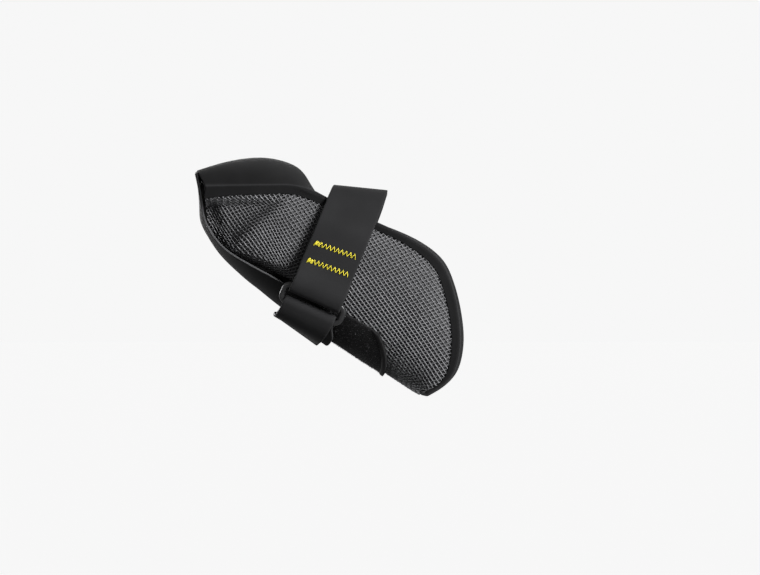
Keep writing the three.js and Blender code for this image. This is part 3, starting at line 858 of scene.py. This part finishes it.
def yarn_family(tree, source, cloth_map, along, other, along_pitch, other_pitch, phase):
    """Yarns that run along one direction of the cloth and wave over and under the other family."""
    reach = source.outputs["Reach"]
    count = math_node(tree, "FLOOR", math_node(tree, "DIVIDE", reach, other_pitch))
    half_way = math_node(tree, "MULTIPLY", count, other_pitch)
    back = scaled(tree, other, math_node(tree, "MULTIPLY", half_way, -1.0))
    twice = math_node(tree, "ADD", math_node(tree, "MULTIPLY", count, 2.0), 1.0)
    origins = add_node(tree, "GeometryNodeMeshLine", {"Count": twice, "Start Location": back,
                                                      "Offset": scaled(tree, other, other_pitch)})
    line = add_node(tree, "GeometryNodeCurvePrimitiveLine", {
        "Start": scaled(tree, along, math_node(tree, "MULTIPLY", reach, -1.0)),
        "End": scaled(tree, along, reach)})
    cut = add_node(tree, "GeometryNodeResampleCurve", {
        "Curve": line.outputs[0], "Length": source.outputs["Step"]}, mode="LENGTH")
    run = add_node(tree, "GeometryNodeSplineParameter").outputs["Length"]
    measured = stored(tree, cut.outputs[0], "run", math_node(tree, "SUBTRACT", run, reach), "FLOAT")
    laid = add_node(tree, "GeometryNodeInstanceOnPoints", {
        "Points": origins.outputs[0], "Instance": measured})
    number = math_node(tree, "SUBTRACT", add_node(tree, "GeometryNodeInputIndex").outputs[0], count)
    counted = stored(tree, laid.outputs[0], "yarn", number, "FLOAT", "INSTANCE")
    lines = add_node(tree, "GeometryNodeRealizeInstances", {0: counted})
    wires = add_node(tree, "GeometryNodeCurveToMesh", {"Curve": lines.outputs[0]}).outputs[0]
    flat = add_node(tree, "GeometryNodeInputPosition").outputs[0]
    for name, field in (("place", "GeometryNodeInputPosition"), ("face", "GeometryNodeInputNormal")):
        value = add_node(tree, field).outputs[0]
        sample = add_node(tree, "GeometryNodeSampleUVSurface", {
            "Mesh": source.outputs["Geometry"], "Value": value, "UV Map": cloth_map, "Sample UV": flat},
            data_type="FLOAT_VECTOR")
        wires = stored(tree, wires, name, sample.outputs["Value"], "FLOAT_VECTOR")
    outside = math_node(tree, "SUBTRACT", 1.0, sample.outputs["Is Valid"])
    kept = add_node(tree, "GeometryNodeDeleteGeometry", {
        "Geometry": wires, "Selection": outside}, domain="POINT")
    steps = math_node(tree, "DIVIDE", named_value(tree, "run", "FLOAT"), along_pitch)
    crossing = math_node(tree, "ADD", steps, named_value(tree, "yarn", "FLOAT"))
    turn = math_node(tree, "MULTIPLY", math_node(tree, "ADD", crossing, phase), math.pi)
    height = math_node(tree, "MULTIPLY", math_node(tree, "COSINE", turn), source.outputs["Wave"])
    place = named_value(tree, "place", "FLOAT_VECTOR")
    face = named_value(tree, "face", "FLOAT_VECTOR")
    bent = add_node(tree, "GeometryNodeSetPosition", {
        "Geometry": kept.outputs[0], "Position": summed(tree, place, scaled(tree, face, height))})
    threads = add_node(tree, "GeometryNodeMeshToCurve", {"Mesh": bent.outputs[0]})
    turned = add_node(tree, "GeometryNodeSetCurveNormal", {
        "Curve": threads.outputs[0], "Normal": face}, mode="FREE")
    circle = add_node(tree, "GeometryNodeCurvePrimitiveCircle", {"Resolution": YARN_SIDES, "Radius": 0.5})
    size = add_node(tree, "ShaderNodeCombineXYZ", {
        0: source.outputs["Width"], 1: source.outputs["Thickness"], 2: 1.0})
    section = add_node(tree, "GeometryNodeTransform", {
        "Geometry": circle.outputs[0], "Scale": size.outputs[0]})
    return swept(tree, turned, section)


def direction_of(tree, angle):
    parts = {0: math_node(tree, "COSINE", angle), 1: math_node(tree, "SINE", angle)}
    return add_node(tree, "ShaderNodeCombineXYZ", parts).outputs[0]


def weave_tree(material):
    """Two families of yarns on the flat cloth map of the given face."""
    lengths = ("Row spacing", "Column spacing", "Width", "Thickness", "Wave", "Reach", "Step")
    inputs = [(label, "NodeSocketFloat") for label in (*lengths, "Row angle", "Column angle")]
    tree, source = new_tree("weave", inputs)
    cloth_map = named_value(tree, "cloth", "FLOAT_VECTOR")
    row = direction_of(tree, source.outputs["Row angle"])
    column = direction_of(tree, source.outputs["Column angle"])
    row_pitch, column_pitch = source.outputs["Row spacing"], source.outputs["Column spacing"]
    row_yarns = yarn_family(tree, source, cloth_map, row, column, row_pitch, column_pitch, 0.0)
    column_yarns = yarn_family(tree, source, cloth_map, column, row, column_pitch, row_pitch, 1.0)
    joined = add_node(tree, "GeometryNodeJoinGeometry")
    tree.links.new(row_yarns, joined.inputs[0])
    tree.links.new(column_yarns, joined.inputs[0])
    end_tree(tree, joined.outputs[0], material)
    return tree


def mirrored(name, piece):
    """A copy of a piece on the other side of the mid-plane."""
    mesh = piece.data.copy()
    places = np.zeros(len(mesh.vertices) * 3)
    mesh.vertices.foreach_get("co", places)
    places = places.reshape(-1, 3) * np.array([1, -1, 1])
    mesh.vertices.foreach_set("co", places.ravel())
    mesh.flip_normals()
    mesh.name = name
    return new_object(name, mesh)


def woven_yarns(material):
    values = {"Row spacing": WEAVE_ALONG_ROW * MM, "Column spacing": WEAVE_ALONG_COLUMN * MM,
              "Width": YARN_WIDTH * MM, "Thickness": YARN_THICK * MM, "Wave": YARN_WAVE * MM,
              "Reach": WEAVE_REACH * MM, "Step": YARN_STEP * MM,
              "Row angle": math.radians(ROW_YARN_ANGLE), "Column angle": math.radians(COLUMN_YARN_ANGLE)}
    near = grow("woven_yarns_near", woven_face(), weave_tree(material), values)
    shade_smooth(near.data)
    return near, mirrored("woven_yarns_far", near)


def spine_wall(material):
    """Spine with a rounded crease, a tucked lower end and turned-down edges."""
    rows = rimmed(0, LAST_SECTION, SPINE_STEPS, SPINE_RIM)[:-2]
    half = np.array(SPINE_ACROSS)
    reach, side = mesh_grid(np.concatenate([rows, LAST_SECTION + SPINE_TUCK_STEPS]),
                            np.concatenate([-half[:0:-1], half]))
    row = np.minimum(reach, LAST_SECTION)
    on_edge = np.clip((np.abs(side) - SPINE_CREASE) / (1 - SPINE_CREASE), 0, 1)
    tuck = (np.maximum(reach - LAST_SECTION, 0) * (1 - on_edge))[..., None] * SPINE_TUCK
    inner = spine_inner(row, side) + tuck
    from_crease = np.abs(side) - SPINE_CREASE
    bead = CREASE_BEAD * np.exp(-((from_crease / CREASE_BEAD_WIDTH) ** 2))
    bead = bead * (1 - smoothstep(reach, *CREASE_BEAD_END))
    from_pinch = (reach - PINCH_ROW) / PINCH_ROW_WIDTH
    below_pinch = (from_crease - PINCH_ACROSS) / PINCH_ACROSS
    pinch = PINCH_RISE * np.exp(-(from_pinch ** 2) - below_pinch ** 2)
    thick = LAMINATE_THICK * (1 - LAP_THINNING * on_edge)
    outer = raised(spine_inner, row, side, -(thick + bead + pinch)) + tuck
    # A painted highlight along the crease, given as a pale edge value
    pale_share = CREASE_HIGHLIGHT * np.exp(-((from_crease / CREASE_HIGHLIGHT_WIDTH) ** 2))
    return cloth_wall("spine_cover", inner, outer, material, 1, pale_share, SPINE_EDGE_WEAR)


def flap_wall(material):
    """Flap with a painted highlight along the middle stretch of its edges."""
    rows, across = rimmed_grid((0, LAST_FLAP), (-1, 1), FLAP_STEPS, FLAP_RIMS)
    outer = flap_outer(rows, across)
    inner = raised(flap_outer, rows, across, -LAMINATE_THICK)
    # Painted highlight: the flap's edges are paler only down their middle stretch
    cut = smoothstep(rows, *FLAP_HIGHLIGHT_BEGINS) * (1 - smoothstep(rows, *FLAP_HIGHLIGHT_ENDS))
    return cloth_wall("mouth_flap", inner, outer, material, 1, cut=cut)


def patch_points(share, side, rise):
    """Points above the floor under the patch; share runs to its round front end."""
    last = PATCH_LAST_ROW - PATCH_END_ROUND * np.abs(side) ** PATCH_END_SQUARE
    row = PATCH_FIRST_ROW + share * (last - PATCH_FIRST_ROW)
    return raised(woven_inner, row, side * PATCH_REACH, WOVEN_THICK + CLEARANCE + rise)


def patch_wall(material):
    """Backing of the pile patch with a raised hem round its front end."""
    ends = np.array([PATCH_FIRST_ROW, PATCH_LAST_ROW])
    first, last = woven_inner(ends, np.full_like(ends, FLOOR_ROUND))
    hem_start = 1 - PATCH_HEM_WIDTH / np.linalg.norm(last - first)
    pile_end, hem_low, hem_high = (hem_start + step for step in HEM_STEP_UP)
    shares = np.concatenate([rimmed(0, pile_end, PATCH_STEPS[0], PATCH_RIMS[0]),
                             np.linspace(hem_start, 1 - HEM_RIM, HEM_STEPS), [1.0]])
    share, side = mesh_grid(shares, rimmed(-1, 1, PATCH_STEPS[1], PATCH_RIMS[1]))
    hem = PATCH_HEM_RISE * smoothstep(share, hem_low, hem_high)
    lower = patch_points(share, side, np.zeros_like(share))
    upper = patch_points(share, side, PATCH_THICK + hem)
    return cloth_wall("pile_patch", lower, upper, material, 1)


def strap_wall(material):
    """The whole strap, with a painted highlight on the rear edge of its folded end."""
    point, cross = strap_stations()
    around = np.gradient(point, axis=0)
    face = unit(np.cross(around, cross))
    across = rimmed(-0.5, 0.5, STRAP_ACROSS_STEPS, STRAP_RIM) * STRAP_WIDTH
    middle = point[:, None] + across[None, :, None] * cross[:, None]
    lower = middle - face[:, None] * STRAP_THICK / 2
    upper = middle + face[:, None] * STRAP_THICK / 2
    folded_stations = round(FOLDED_END / STRAP_STEP)
    # All edges slightly paler from rubbing; the folded end's rear edge much paler, a painted highlight
    cut = np.full(middle.shape[:2], STRAP_WEAR)
    cut[-folded_stations:, 0] = FOLDED_EDGE_HIGHLIGHT
    return cloth_wall("strap_webbing", lower, upper, material, 1, cut=cut)


def ring_loop(material):
    """Rounded loop of bar: a soft square section swept round a rectangle with round corners."""
    steps_corner, steps_section, softness = 14, 16, 0.7
    length = RING_LENGTH - RING_SIDE
    height = RING_HEIGHT - RING_BAR
    radius = RING_ROUND - RING_BAR / 2
    corners = ((1, 1, 0.0), (-1, 1, 0.5), (-1, -1, 1.0), (1, -1, 1.5))
    path, outs = [], []
    for sign_x, sign_y, turn in corners:
        centre = np.array([sign_x * (length / 2 - radius), sign_y * (height / 2 - radius)])
        for angle in np.pi * (turn + 0.5 * np.arange(steps_corner + 1) / steps_corner):
            out = np.array([math.cos(angle), math.sin(angle)])
            path.append(centre + radius * out)
            outs.append(out)
    path, outs = np.array(path), np.array(outs)
    angle = 2 * np.pi * np.arange(steps_section) / steps_section
    waves = (np.cos(angle), np.sin(angle))
    soft_cos, soft_sin = (np.sign(wave) * np.abs(wave) ** softness for wave in waves)
    in_plane = RING_BAR / 2 + (RING_SIDE - RING_BAR) / 2 * outs[:, :1] ** 2
    flat = path[:, None] + outs[:, None] * (in_plane * soft_cos)[..., None]
    rise = np.broadcast_to(soft_sin * RING_BAR / 2, flat.shape[:2])
    up_strap = np.cross(ring_outward, ring_cross)
    points = ring_centre + flat[..., :1] * ring_cross + flat[..., 1:] * up_strap
    points = points + rise[..., None] * ring_outward
    count = len(path)
    index = np.arange(count * steps_section).reshape(count, steps_section)
    right = np.roll(index, -1, axis=0)
    quads = np.stack([index, right, np.roll(right, -1, axis=1), np.roll(index, -1, axis=1)], axis=-1)
    mesh = plain_mesh("ring_loop", points, quads.reshape(-1, 4))
    face_outwards(mesh)
    mesh.materials.append(material)
    shade_smooth(mesh)
    return new_object("ring_loop", mesh)


def strap_face(distance, across):
    """Points on the outer face of the strap's near run."""
    point, _, cross, outward = way_at(distance)
    rise = (over_tail(distance) + STRAP_THICK / 2)[..., None]
    return point + outward * rise + cross * across[..., None]


def zigzag_tree(material):
    """A thread that zig-zags along a seam line and dips at each needle hole."""
    inputs = [(label, "NodeSocketFloat") for label in ("Zigs", "Height", "Thread radius")]
    inputs += [(label, "NodeSocketVector") for label in ("Up strap", "Face")]
    tree, source = new_tree("zigzag_seam", inputs)
    seam = add_node(tree, "GeometryNodeMeshToCurve", {"Mesh": source.outputs["Geometry"]})
    strokes = math_node(tree, "MULTIPLY", source.outputs["Zigs"], 2.0)
    points = math_node(tree, "ADD", math_node(tree, "MULTIPLY", strokes, POINTS_PER_STROKE), 1.0)
    cut = add_node(tree, "GeometryNodeResampleCurve", {
        "Curve": seam.outputs[0], "Count": points}, mode="COUNT")
    share = add_node(tree, "GeometryNodeSplineParameter").outputs["Factor"]
    stroke = math_node(tree, "MULTIPLY", share, strokes)
    swing = math_node(tree, "SUBTRACT", math_node(tree, "PINGPONG", stroke, 1.0), 0.5)
    radius = source.outputs["Thread radius"]
    swung = math_node(tree, "MULTIPLY", swing, source.outputs["Height"])
    arch = math_node(tree, "SINE", math_node(tree, "MULTIPLY", math_node(tree, "FRACT", stroke), math.pi))
    side = scaled(tree, source.outputs["Up strap"], swung)
    rise = scaled(tree, source.outputs["Face"], math_node(tree, "MULTIPLY", arch, radius))
    moved = add_node(tree, "GeometryNodeSetPosition", {
        "Geometry": cut.outputs[0], "Offset": summed(tree, side, rise)})
    circle = add_node(tree, "GeometryNodeCurvePrimitiveCircle", {
        "Resolution": THREAD_SIDES, "Radius": radius})
    end_tree(tree, swept(tree, moved, circle), material)
    return tree


def join_pieces(name, pieces):
    """One mesh object of several."""
    work = bmesh.new()
    for piece in pieces:
        work.from_mesh(piece.data)
    mesh = bpy.data.meshes.new(name)
    work.to_mesh(mesh)
    work.free()
    mesh.materials.append(pieces[0].data.materials[0])
    for piece in pieces:
        bpy.data.objects.remove(piece)
    shade_smooth(mesh)
    return new_object(name, mesh)


def zigzag_seams(material):
    """Each seam with a short tack of close stitches at its rear end."""
    tree = zigzag_tree(material)
    seams = []
    for seam in map(Seam._make, STITCH_ROWS):
        slope = math.tan(math.radians(seam.turn))
        _, tangent, _, outward = way_at(np.array(seam.place))
        parts = []
        tack = (-(seam.length - TACK_LENGTH) / 2, TACK_LENGTH, TACK_ZIGS, TACK_HEIGHT)
        for middle, run, zigs, height in [(0.0, seam.length, STITCH_ZIGS, STITCH_HEIGHT), tack]:
            across = middle + np.linspace(-run / 2, run / 2, SEAM_POINTS)
            line = strap_face(seam.place - across * slope, across) + THREAD_LIFT * THREAD_RADIUS * outward
            edges = [(i, i + 1) for i in range(SEAM_POINTS - 1)]
            mesh = plain_mesh(seam.name + "_line", line, edges=edges)
            values = {"Zigs": zigs, "Height": height * MM, "Thread radius": THREAD_RADIUS * MM,
                      "Up strap": tuple(-tangent), "Face": tuple(outward)}
            parts.append(grow(f"{seam.name}_{len(parts)}", mesh, tree, values))
        seams.append(join_pieces(seam.name, parts))
    return seams


def fuzz_tree(material):
    """Small bent loops of pile scattered over a face."""
    inputs = [(label, "NodeSocketFloat") for label in ("Density", "Loop size", "Hair radius")]
    tree, source = new_tree("loop_pile", inputs)
    spots = add_node(tree, "GeometryNodeDistributePointsOnFaces", {
        "Mesh": source.outputs["Geometry"], "Density": source.outputs["Density"], "Seed": 4})
    arc = add_node(tree, "GeometryNodeCurveArc", {
        "Resolution": PILE_LOOP_POINTS, "Radius": source.outputs["Loop size"], "Start Angle": 0.0,
        "Sweep Angle": PILE_LOOP_SWEEP})
    upright = add_node(tree, "GeometryNodeTransform", {
        "Geometry": arc.outputs[0], "Rotation": (math.pi / 2, 0.0, 0.0)})
    hair = add_node(tree, "GeometryNodeCurvePrimitiveCircle", {
        "Resolution": PILE_HAIR_SIDES, "Radius": source.outputs["Hair radius"]})
    spin = add_node(tree, "FunctionNodeRandomValue", {
        0: (-PILE_LEAN, -PILE_LEAN, 0.0), 1: (PILE_LEAN, PILE_LEAN, FULL_TURN), "Seed": 9},
        data_type="FLOAT_VECTOR")
    least, most = PILE_LOOP_RANGE
    size = add_node(tree, "FunctionNodeRandomValue", {2: least, 3: most, "Seed": 2}, data_type="FLOAT")
    turned = add_node(tree, "FunctionNodeRotateRotation", {
        0: spots.outputs["Rotation"], 1: spin.outputs[0]}, rotation_space="LOCAL")
    laid = add_node(tree, "GeometryNodeInstanceOnPoints", {
        "Points": spots.outputs["Points"], "Instance": swept(tree, upright, hair),
        "Rotation": turned.outputs[0], "Scale": size.outputs[1]})
    end_tree(tree, laid.outputs[0], material)
    return tree


def patch_fuzz(material):
    """Loops of pile over the patch, short of its hem."""
    along, across = (np.linspace(*span, steps) for span, steps in zip(PILE_SPANS, PILE_FACE_STEPS))
    share, side = mesh_grid(along, across)
    points = patch_points(share, side, np.full_like(share, PATCH_THICK))
    mesh = plain_mesh("patch_face", points, grid_faces(*share.shape))
    values = {"Density": PILE_PER_SQUARE_METRE, "Loop size": PILE_LOOP * MM,
              "Hair radius": PILE_HAIR_RADIUS * MM}
    return grow("pile_fuzz", mesh, fuzz_tree(material), values)


# Stage, light and camera

BACKDROP = (0.93, 0.93, 0.93)
FLOOR_GLOW = 0.875
FLOOR_HALF = 60.0
FLOOR_HEIGHT = -1.2
ROOM_ABOVE = 0.06
ROOM_BELOW = 0.04
ROOM_GLOSS = 0.35

# One row for each lamp, all turned to the same point: place and size in metres, and power in watts
LIGHT_TARGET = (-0.01, 0.0, -0.04)
LIGHTS = (
    ("key_light", (0.80, -0.76, 0.25), (0.5, 0.5), 20.0),
    ("low_fill", (0.75, -0.60, -0.65), (0.5, 0.5), 1.0),
    ("left_fill", (-0.85, -0.70, 0.05), (0.5, 0.7), 0.5),
    ("top_light", (0.05, 0.60, 0.80), (0.7, 0.4), 3.0),
    ("far_light", (-0.30, 1.10, 0.25), (0.6, 0.6), 8.0),
    ("rear_light", (-1.05, 0.45, 0.20), (0.6, 0.6), 12.0),
)


def pale_floor():
    material, tree, shader = new_material("pale_floor")
    tone = noise_of(tree, 0.6)
    set_inputs(tree, shader, {
        "Base Color": ramp_of(tree, tone, ((0.3, (0.78, 0.78, 0.78)), (0.7, (0.80, 0.80, 0.80)))),
        "Roughness": 0.9, "Specular IOR Level": 0.1, "Emission Color": (1.0, 1.0, 1.0, 1.0),
        "Emission Strength": FLOOR_GLOW})
    signs = ((-1, -1), (1, -1), (1, 1), (-1, 1))
    corners = [(x * FLOOR_HALF, y * FLOOR_HALF, FLOOR_HEIGHT) for x, y in signs]
    mesh = bpy.data.meshes.new("pale_floor")
    mesh.from_pydata(corners, [], [(0, 1, 2, 3)])
    mesh.materials.append(material)
    floor = new_object("pale_floor", mesh)
    floor.visible_diffuse = False
    floor.visible_glossy = False


def soft_light(name, place, size, power):
    lamp = bpy.data.lights.new(name, "AREA")
    lamp.shape = "RECTANGLE"
    lamp.size, lamp.size_y = size
    lamp.energy = power
    thing = bpy.data.objects.new(name, lamp)
    thing.location = place
    thing.rotation_euler = (Vector(LIGHT_TARGET) - Vector(place)).to_track_quat("-Z", "Y").to_euler()
    bpy.context.scene.collection.objects.link(thing)


def studio_light():
    world = bpy.data.worlds.new("pale_room")
    world.use_nodes = True
    tree = world.node_tree
    seen = tree.nodes["Background"]
    seen.inputs["Color"].default_value = (*BACKDROP, 1.0)
    direction = add_node(tree, "ShaderNodeTexCoord").outputs["Generated"]
    height = add_node(tree, "ShaderNodeSeparateXYZ", {0: direction})
    glow = ramp_of(tree, between(tree, height.outputs[2], 0.5, 1.0),
                   ((0.25, (ROOM_BELOW,) * 3), (0.75, (ROOM_ABOVE,) * 3)))
    lit = add_node(tree, "ShaderNodeBackground", {"Color": glow})
    gloss = add_node(tree, "ShaderNodeBackground", {"Color": (ROOM_GLOSS, ROOM_GLOSS, ROOM_GLOSS, 1.0)})
    ray = add_node(tree, "ShaderNodeLightPath")
    unseen = add_node(tree, "ShaderNodeMixShader", {0: ray.outputs["Is Glossy Ray"], 1: lit.outputs[0],
                                                    2: gloss.outputs[0]})
    mixed = add_node(tree, "ShaderNodeMixShader", {0: ray.outputs["Is Camera Ray"], 1: unseen.outputs[0],
                                                   2: seen.outputs[0]})
    tree.links.new(mixed.outputs[0], tree.nodes["World Output"].inputs["Surface"])
    bpy.context.scene.world = world
    for lamp_row in LIGHTS:
        soft_light(*lamp_row)


# Photo frame: its size in pixels, the part's origin in it and its scale
FRAME_WIDTH, FRAME_HEIGHT = 760, 575
ORIGIN_PIXEL = (360, 191)
PIXELS_PER_MM = 2.10
CAMERA_AWAY = 1.40
SENSOR_WIDTH = 36.0
SCALE_PLANE_Y = -22.0


def photo_camera():
    """A long lens that looks square on to the near side."""
    camera = bpy.data.cameras.new("photo_camera")
    camera.sensor_width = SENSOR_WIDTH
    frame_mm = FRAME_WIDTH / PIXELS_PER_MM
    camera.lens = SENSOR_WIDTH * (CAMERA_AWAY / MM + SCALE_PLANE_Y) / frame_mm
    camera.clip_end = 200.0
    thing = bpy.data.objects.new("photo_camera", camera)
    x = (FRAME_WIDTH / 2 - ORIGIN_PIXEL[0]) / PIXELS_PER_MM * MM
    z = (ORIGIN_PIXEL[1] - FRAME_HEIGHT / 2) / PIXELS_PER_MM * MM
    thing.location = (x, -CAMERA_AWAY, z)
    thing.rotation_euler = (math.pi / 2, 0.0, 0.0)
    bpy.context.scene.collection.objects.link(thing)
    bpy.context.scene.camera = thing


photo_camera()
pale_floor()
studio_light()
bpy.context.scene.view_settings.view_transform = "Standard"

# The fourth value is the grey of paler edges: mostly painted highlight, some rubbing
laminate = coated_black("black_laminate", 0.010, 0.015, 0.12, 0.80, 0.10)
strap_finish = coated_black("black_strap", 0.022, 0.028, 0.50, 0.82, 0.10)
yarn = yarn_grey()
pile = noisy_finish("black_pile", 900.0, ((0.3, grey(0.005)), (0.75, grey(0.016))), (0.75, 1.0),
                    (0.5, 0.0004), {"Specular IOR Level": 0.25})
thread = noisy_finish("yellow_thread", 3200.0, ((0.25, (0.62, 0.50, 0.02)), (0.65, (0.95, 0.84, 0.05))),
                      (0.40, 0.65), (0.6, 0.00015), {"Sheen Weight": 0.15})
coating = noisy_finish("dark_backing", 400.0, ((0.3, grey(0.050)), (0.7, grey(0.080))), (0.65, 0.9),
                       (0.3, 0.0003))
loops = noisy_finish("pile_loops", 900.0, ((0.42, grey(0.012)), (0.62, grey(0.11))), (0.65, 0.90),
                     more={"Specular IOR Level": 0.3})

backing = woven_backing(coating)
near_yarns, far_yarns = woven_yarns(yarn)
spine = spine_wall(laminate)
flap = flap_wall(laminate)
patch = patch_wall(pile)
fuzz = patch_fuzz(loops)
strap = strap_wall(strap_finish)
ring = ring_loop(ring_black())
seams = zigzag_seams(thread)

# Each piece, a finish name that nothing reads, and the model.glb part it stands for, which is hidden; all
# ride on the body
PIECES = (
    (backing, "woven_cloth", "side_shell"),
    (near_yarns, "woven_cloth", None),
    (far_yarns, "woven_cloth", None),
    (spine, "black_laminate", "spine_band"),
    (flap, "black_laminate", "closure_flap"),
    (patch, "loop_pile", "loop_patch"),
    (fuzz, "loop_pile", None),
    (strap, "strap_webbing", "hanging_strap"),
    (ring, "ring_plastic", "strap_ring"),
    *((seam, "stitch_thread", None) for seam in seams),
)
for piece, slot, node in PIECES:
    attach(piece, BODY)
    if node:
        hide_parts(node)
